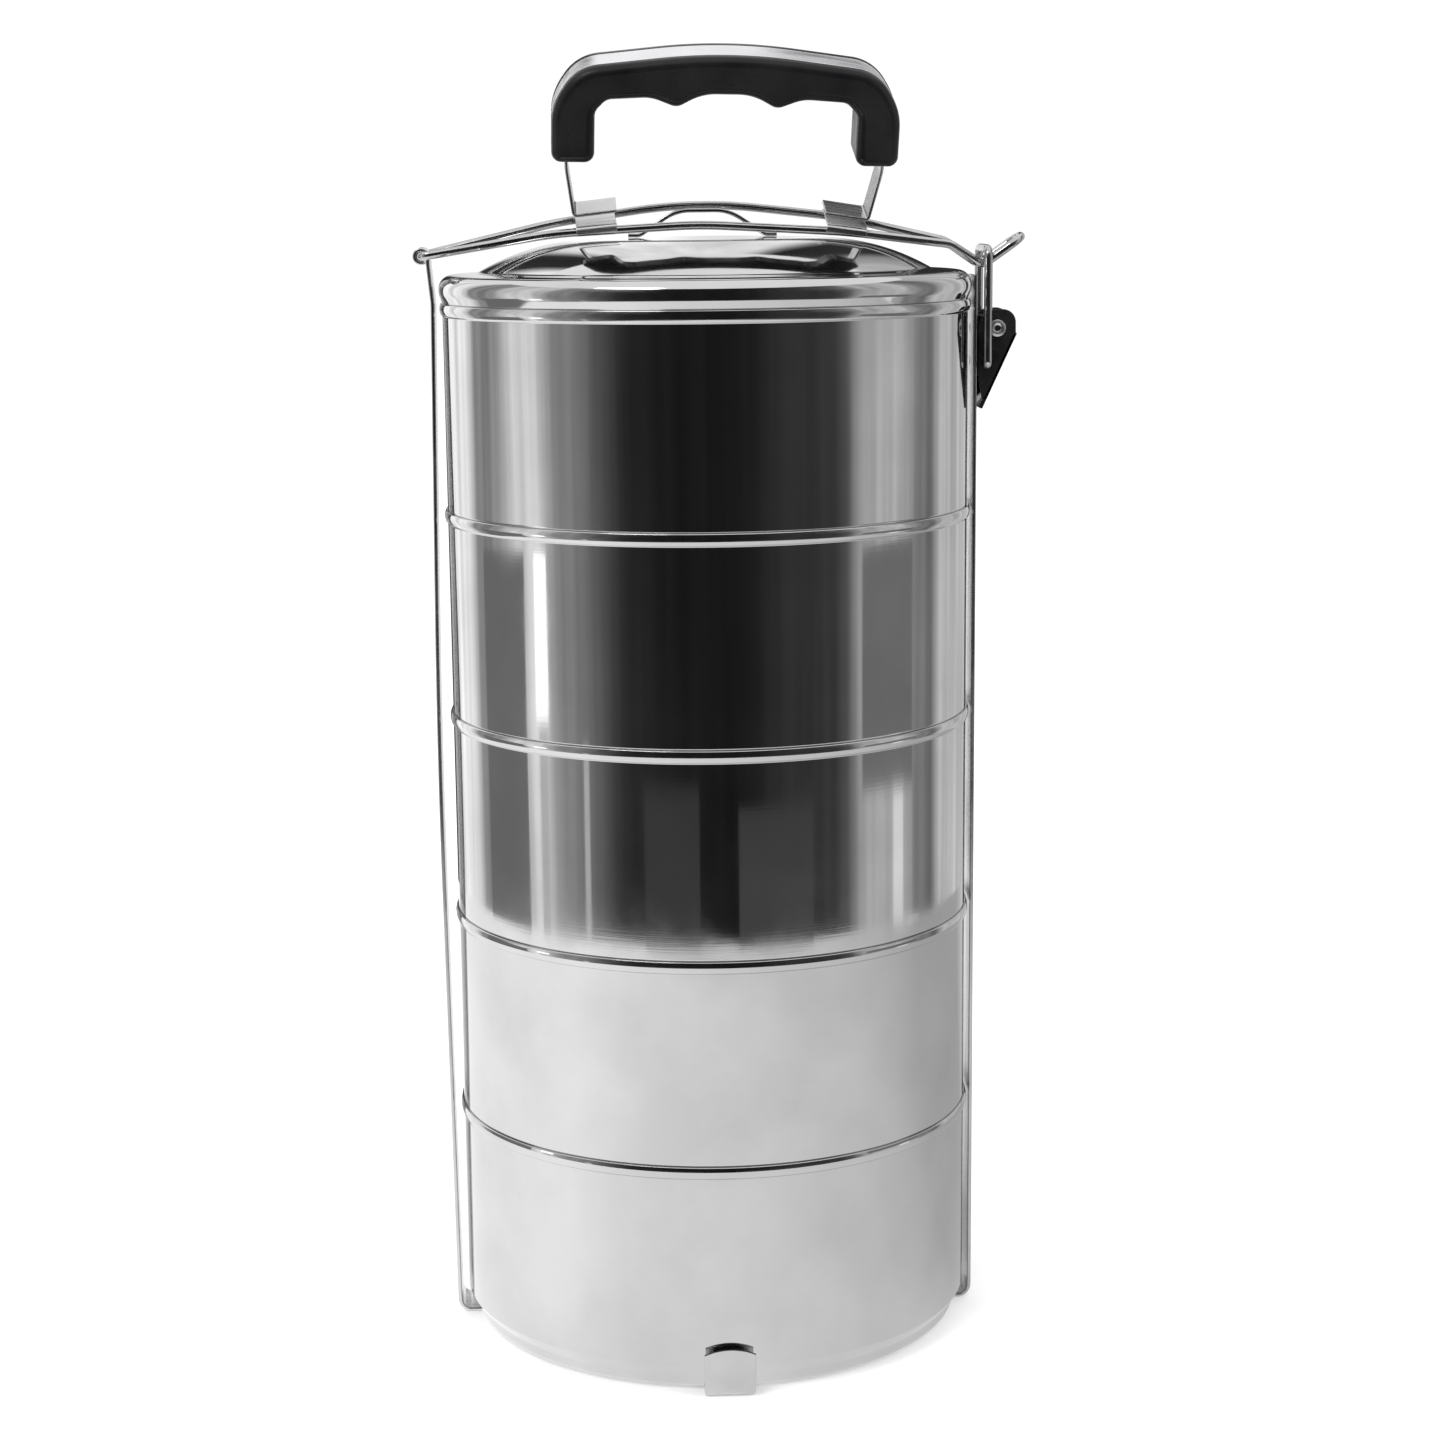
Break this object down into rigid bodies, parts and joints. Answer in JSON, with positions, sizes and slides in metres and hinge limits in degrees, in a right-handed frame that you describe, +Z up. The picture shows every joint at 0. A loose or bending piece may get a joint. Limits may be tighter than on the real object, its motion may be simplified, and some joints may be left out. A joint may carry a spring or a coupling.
{
  "type": "tiffin carrier",
  "caption": "Tiered stainless lunch carrier: nesting bowls and a domed lid in a strap frame, with a wire bail, moulded grip and over-centre toggle latch.",
  "frame": {"origin": "on the axis of the stack, on the surface that the carrier stands on", "axes": "+Z up; +X towards the latch, -X towards the bail's hinge, -Y to the front"},
  "size_m": [0.1863, 0.166, 0.3971],
  "materials": {
    "polished_steel": "mirror-polished stainless steel",
    "strap_steel": "rolled stainless strip, bright with softened reflections",
    "bright_wire": "bright drawn stainless wire",
    "plated_steel": "bright plated sheet",
    "black_enamel": "gloss black enamel on pressed steel",
    "black_plastic": "moulded phenolic, half gloss",
    "silver_trim": "silver trim strip"
  },
  "bodies": {
    "frame": {"side_strap": "strap_steel", "cross_strap": "strap_steel", "base_rivet": "strap_steel", "latch_bracket": "black_enamel", "bracket_rivets": "plated_steel", "lever_pin": "plated_steel"},
    "bail": {"bail_wire": "bright_wire", "wire_clip_left": "plated_steel", "wire_clip_right": "plated_steel", "handle_strip": "plated_steel", "handle_grip": "black_plastic", "handle_inlay": "silver_trim"},
    "lever": {"latch_lever": "black_enamel"},
    "link": {"latch_link": "bright_wire"},
    "bowl_1": {"bowl_1": "polished_steel"},
    "bowl_2": {"bowl_2": "polished_steel"},
    "bowl_3": {"bowl_3": "polished_steel"},
    "bowl_4": {"bowl_4": "polished_steel"},
    "bowl_5": {"bowl_5": "polished_steel"},
    "lid": {"lid": "polished_steel", "lid_handle": "polished_steel"}
  },
  "joints": [
    {"name": "bail_swing", "type": "hinge", "parent": "frame", "child": "bail", "pos_m": [-0.08575, 0, 0.3355], "axis": [0, -1, 0], "range_deg": [0, 205]},
    {"name": "lever_turn", "type": "hinge", "parent": "frame", "child": "lever", "pos_m": [0.0887, 0, 0.312], "axis": [0, -1, 0], "range_deg": [0, 90]},
    {"name": "link_turn", "type": "hinge", "parent": "lever", "child": "link", "pos_m": [0.0855, 0, 0.3009], "axis": [0, -1, 0], "range_deg": [-62, 0]},
    {"name": "bowl_1_lift", "type": "slide", "parent": "frame", "child": "bowl_1", "axis": [0, 0, 1], "range_m": [0, 0.0086]},
    {"name": "bowl_2_lift", "type": "slide", "parent": "frame", "child": "bowl_2", "axis": [0, 0, 1], "range_m": [0, 0.0172]},
    {"name": "bowl_3_lift", "type": "slide", "parent": "frame", "child": "bowl_3", "axis": [0, 0, 1], "range_m": [0, 0.0258]},
    {"name": "bowl_4_lift", "type": "slide", "parent": "frame", "child": "bowl_4", "axis": [0, 0, 1], "range_m": [0, 0.0344]},
    {"name": "bowl_5_lift", "type": "slide", "parent": "frame", "child": "bowl_5", "axis": [0, 0, 1], "range_m": [0, 0.043]},
    {"name": "lid_lift", "type": "slide", "parent": "frame", "child": "lid", "axis": [0, 0, 1], "range_m": [0, 0.0516]}
  ],
  "couplings": [
    {"joint": "link_turn", "follows": "lever_turn", "ratio": -0.68},
    {"joint": "bowl_1_lift", "follows": "bail_swing", "m_per_rad": 0.0024},
    {"joint": "bowl_2_lift", "follows": "bail_swing", "m_per_rad": 0.0048},
    {"joint": "bowl_3_lift", "follows": "bail_swing", "m_per_rad": 0.0072},
    {"joint": "bowl_4_lift", "follows": "bail_swing", "m_per_rad": 0.0096},
    {"joint": "bowl_5_lift", "follows": "bail_swing", "m_per_rad": 0.012},
    {"joint": "lid_lift", "follows": "bail_swing", "m_per_rad": 0.0144}
  ]
}
